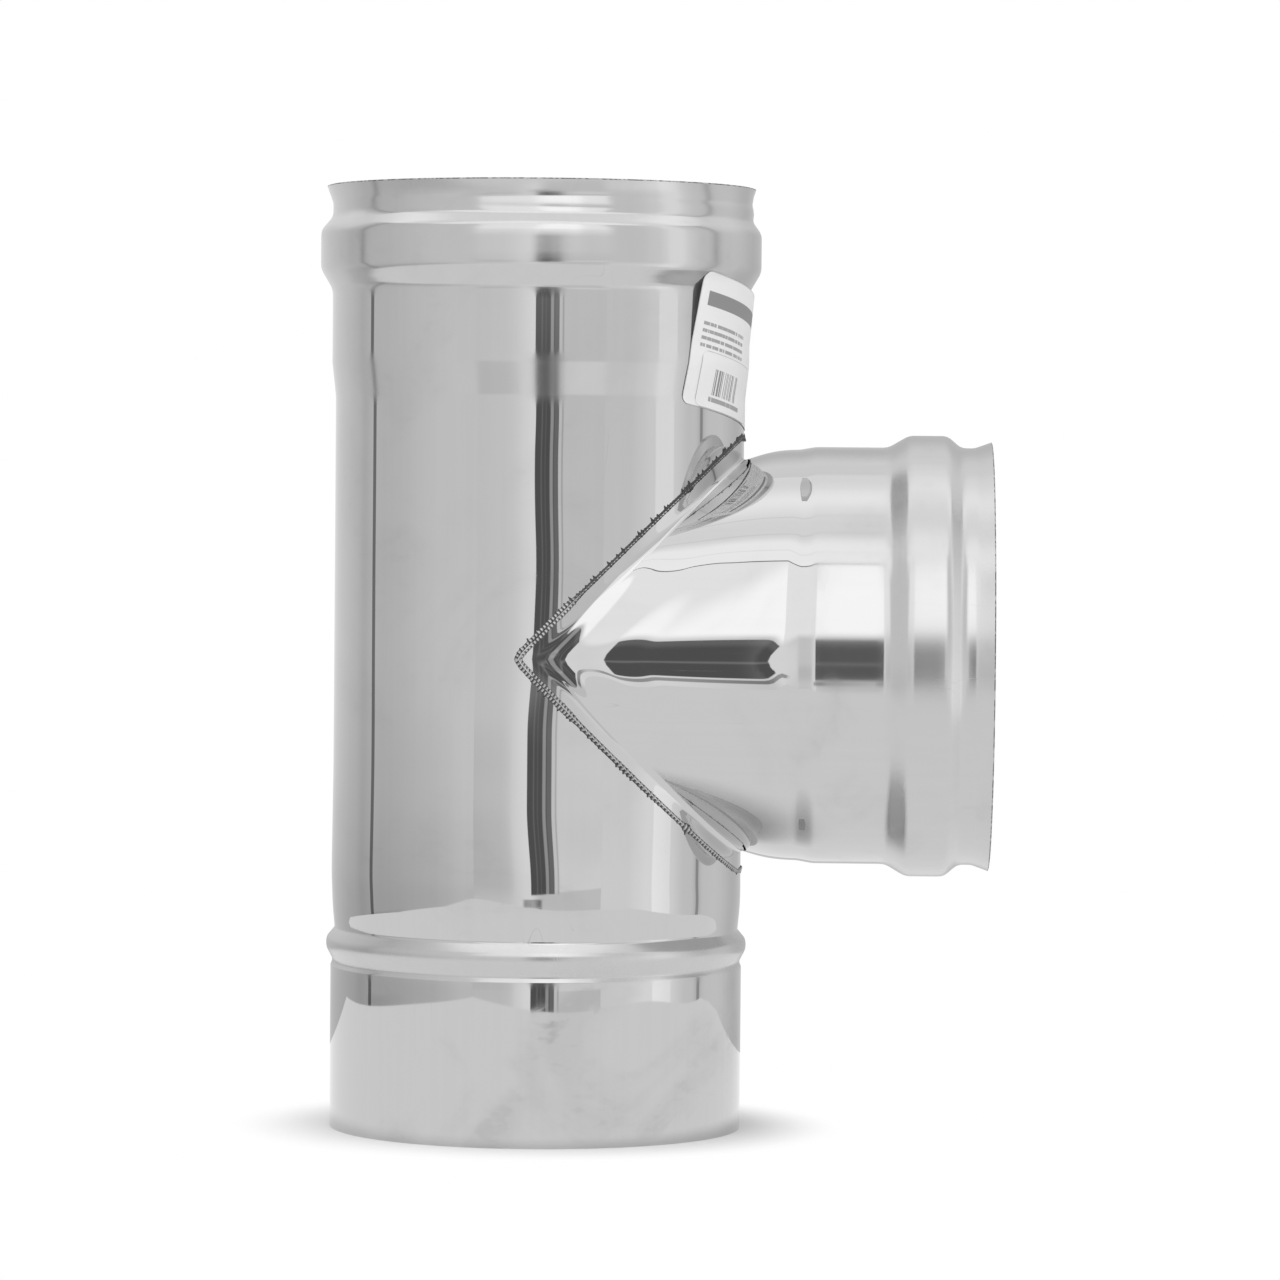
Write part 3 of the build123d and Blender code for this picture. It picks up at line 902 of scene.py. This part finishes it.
def paper_material(name, ink_mask, left, right, foot, top):
    """White paper with a faint tooth, dark grey ink where the mask of the label's place is, and a grey
    band of painted shade along its left, right, foot and top edges."""
    material, tree, shader = new_material(name)
    shader.inputs["Specular IOR Level"].default_value = 0.3
    place = add_node(tree, "ShaderNodeAttribute", attribute_name="label_place").outputs["Vector"]
    # Band of painted shade along the sticker's edges. It darkens the paper the same way the ink does.
    inside_edge_shade = print_box(tree, place, left + edge_shade_width, right - edge_shade_width, foot + edge_shade_width, top - edge_shade_width)
    edge_shade = calculated(tree, "MULTIPLY", calculated(tree, "SUBTRACT", 1.0, inside_edge_shade), edge_shade_grey)
    ink_and_edge_shade = calculated(tree, "MAXIMUM", ink_mask(tree, place), edge_shade)
    object_place = add_node(tree, "ShaderNodeTexCoord").outputs["Object"]
    tooth = scaled_noise(tree, object_place, (2500, 2500, 2500), 2)
    cloud = scaled_noise(tree, object_place, (60, 60, 60), 2)
    paleness = calculated(tree, "MULTIPLY_ADD", cloud, 0.05, paper_white)
    inked_and_shaded = calculated(tree, "MULTIPLY", ink_and_edge_shade, paleness)
    paleness = calculated(tree, "MULTIPLY_ADD", inked_and_shaded, -0.80, paleness)
    tree.links.new(grey(tree, paleness), shader.inputs["Base Color"])
    tree.links.new(calculated(tree, "MULTIPLY_ADD", tooth, 0.2, 0.45), shader.inputs["Roughness"])
    grain = add_node(tree, "ShaderNodeBump", {"Height": tooth, "Distance": 0.00001})
    tree.links.new(grain.outputs["Normal"], shader.inputs["Normal"])
    return material


def both_prints(tree, first, first_ink, second, second_ink):
    """Ink of two masks, each as dark as its own ink."""
    first = calculated(tree, "MULTIPLY", first, first_ink)
    return calculated(tree, "MAXIMUM", first, calculated(tree, "MULTIPLY", second, second_ink))


def product_print(tree, place):
    """A thick bar for the heading, and under it four lines of dashes."""
    heading = print_box(tree, place, -24, 20, 10.5, 15.0)
    lines = print_box(tree, place, -24, 4, -2.8, 6.0)
    lines = calculated(tree, "MULTIPLY", lines, dashes(tree, place, 2.25, 1.05, 0.60))
    return both_prints(tree, heading, heading_ink, lines, line_ink)


label_grids, label_places = paper_grids(label_width, label_height, 0, 0, 0)
label_edges = (-label_width / 2, label_width / 2, -label_height / 2, label_height / 2)
label_material = paper_material("label_paper_large", product_print, *label_edges)
label = sheet_piece("product_sticker", label_grids, {"label_place": label_places}, label_material)
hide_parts("product_label")
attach(label, "root")


# Smaller sticker of the same paper, stuck on the lower part of the larger one: a block of upright
# bars of random widths, which say nothing, and a line of dashes under it.
small_width, small_height, small_left, small_drop = 38.0, 17.5, 3.3, 11.8
bar_width, bare_share, bar_ink = 0.38, 0.52, 0.85


def stock_print(tree, place):
    """A block of upright bars, black or bare by chance for each bar's width, and dashes."""
    separate = add_node(tree, "ShaderNodeSeparateXYZ", {0: place})
    cell = calculated(tree, "FLOOR", calculated(tree, "DIVIDE", separate.outputs[0], bar_width))
    luck = add_node(tree, "ShaderNodeTexWhiteNoise", {"W": cell}, noise_dimensions="1D").outputs[0]
    bars = calculated(tree, "GREATER_THAN", luck, bare_share)
    bars = calculated(tree, "MULTIPLY", bars, print_box(tree, place, -15, 2, -16.0, -8.0))
    lines = print_box(tree, place, -16, 6, -19.0, -16.8)
    lines = calculated(tree, "MULTIPLY", lines, dashes(tree, place, 2.6, 1.5, 0.62))
    return both_prints(tree, bars, bar_ink, lines, line_ink)


small_grids, small_places = paper_grids(small_width, small_height, small_left, small_drop, 1)
small_edges = (-small_width / 2 - small_left, small_width / 2 - small_left)
small_edges += (-small_height / 2 - small_drop, small_height / 2 - small_drop)
small_material = paper_material("label_paper_small", stock_print, *small_edges)
small_label = sheet_piece("stock_sticker", small_grids, {"label_place": small_places}, small_material)
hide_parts("barcode_label")
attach(small_label, "root")
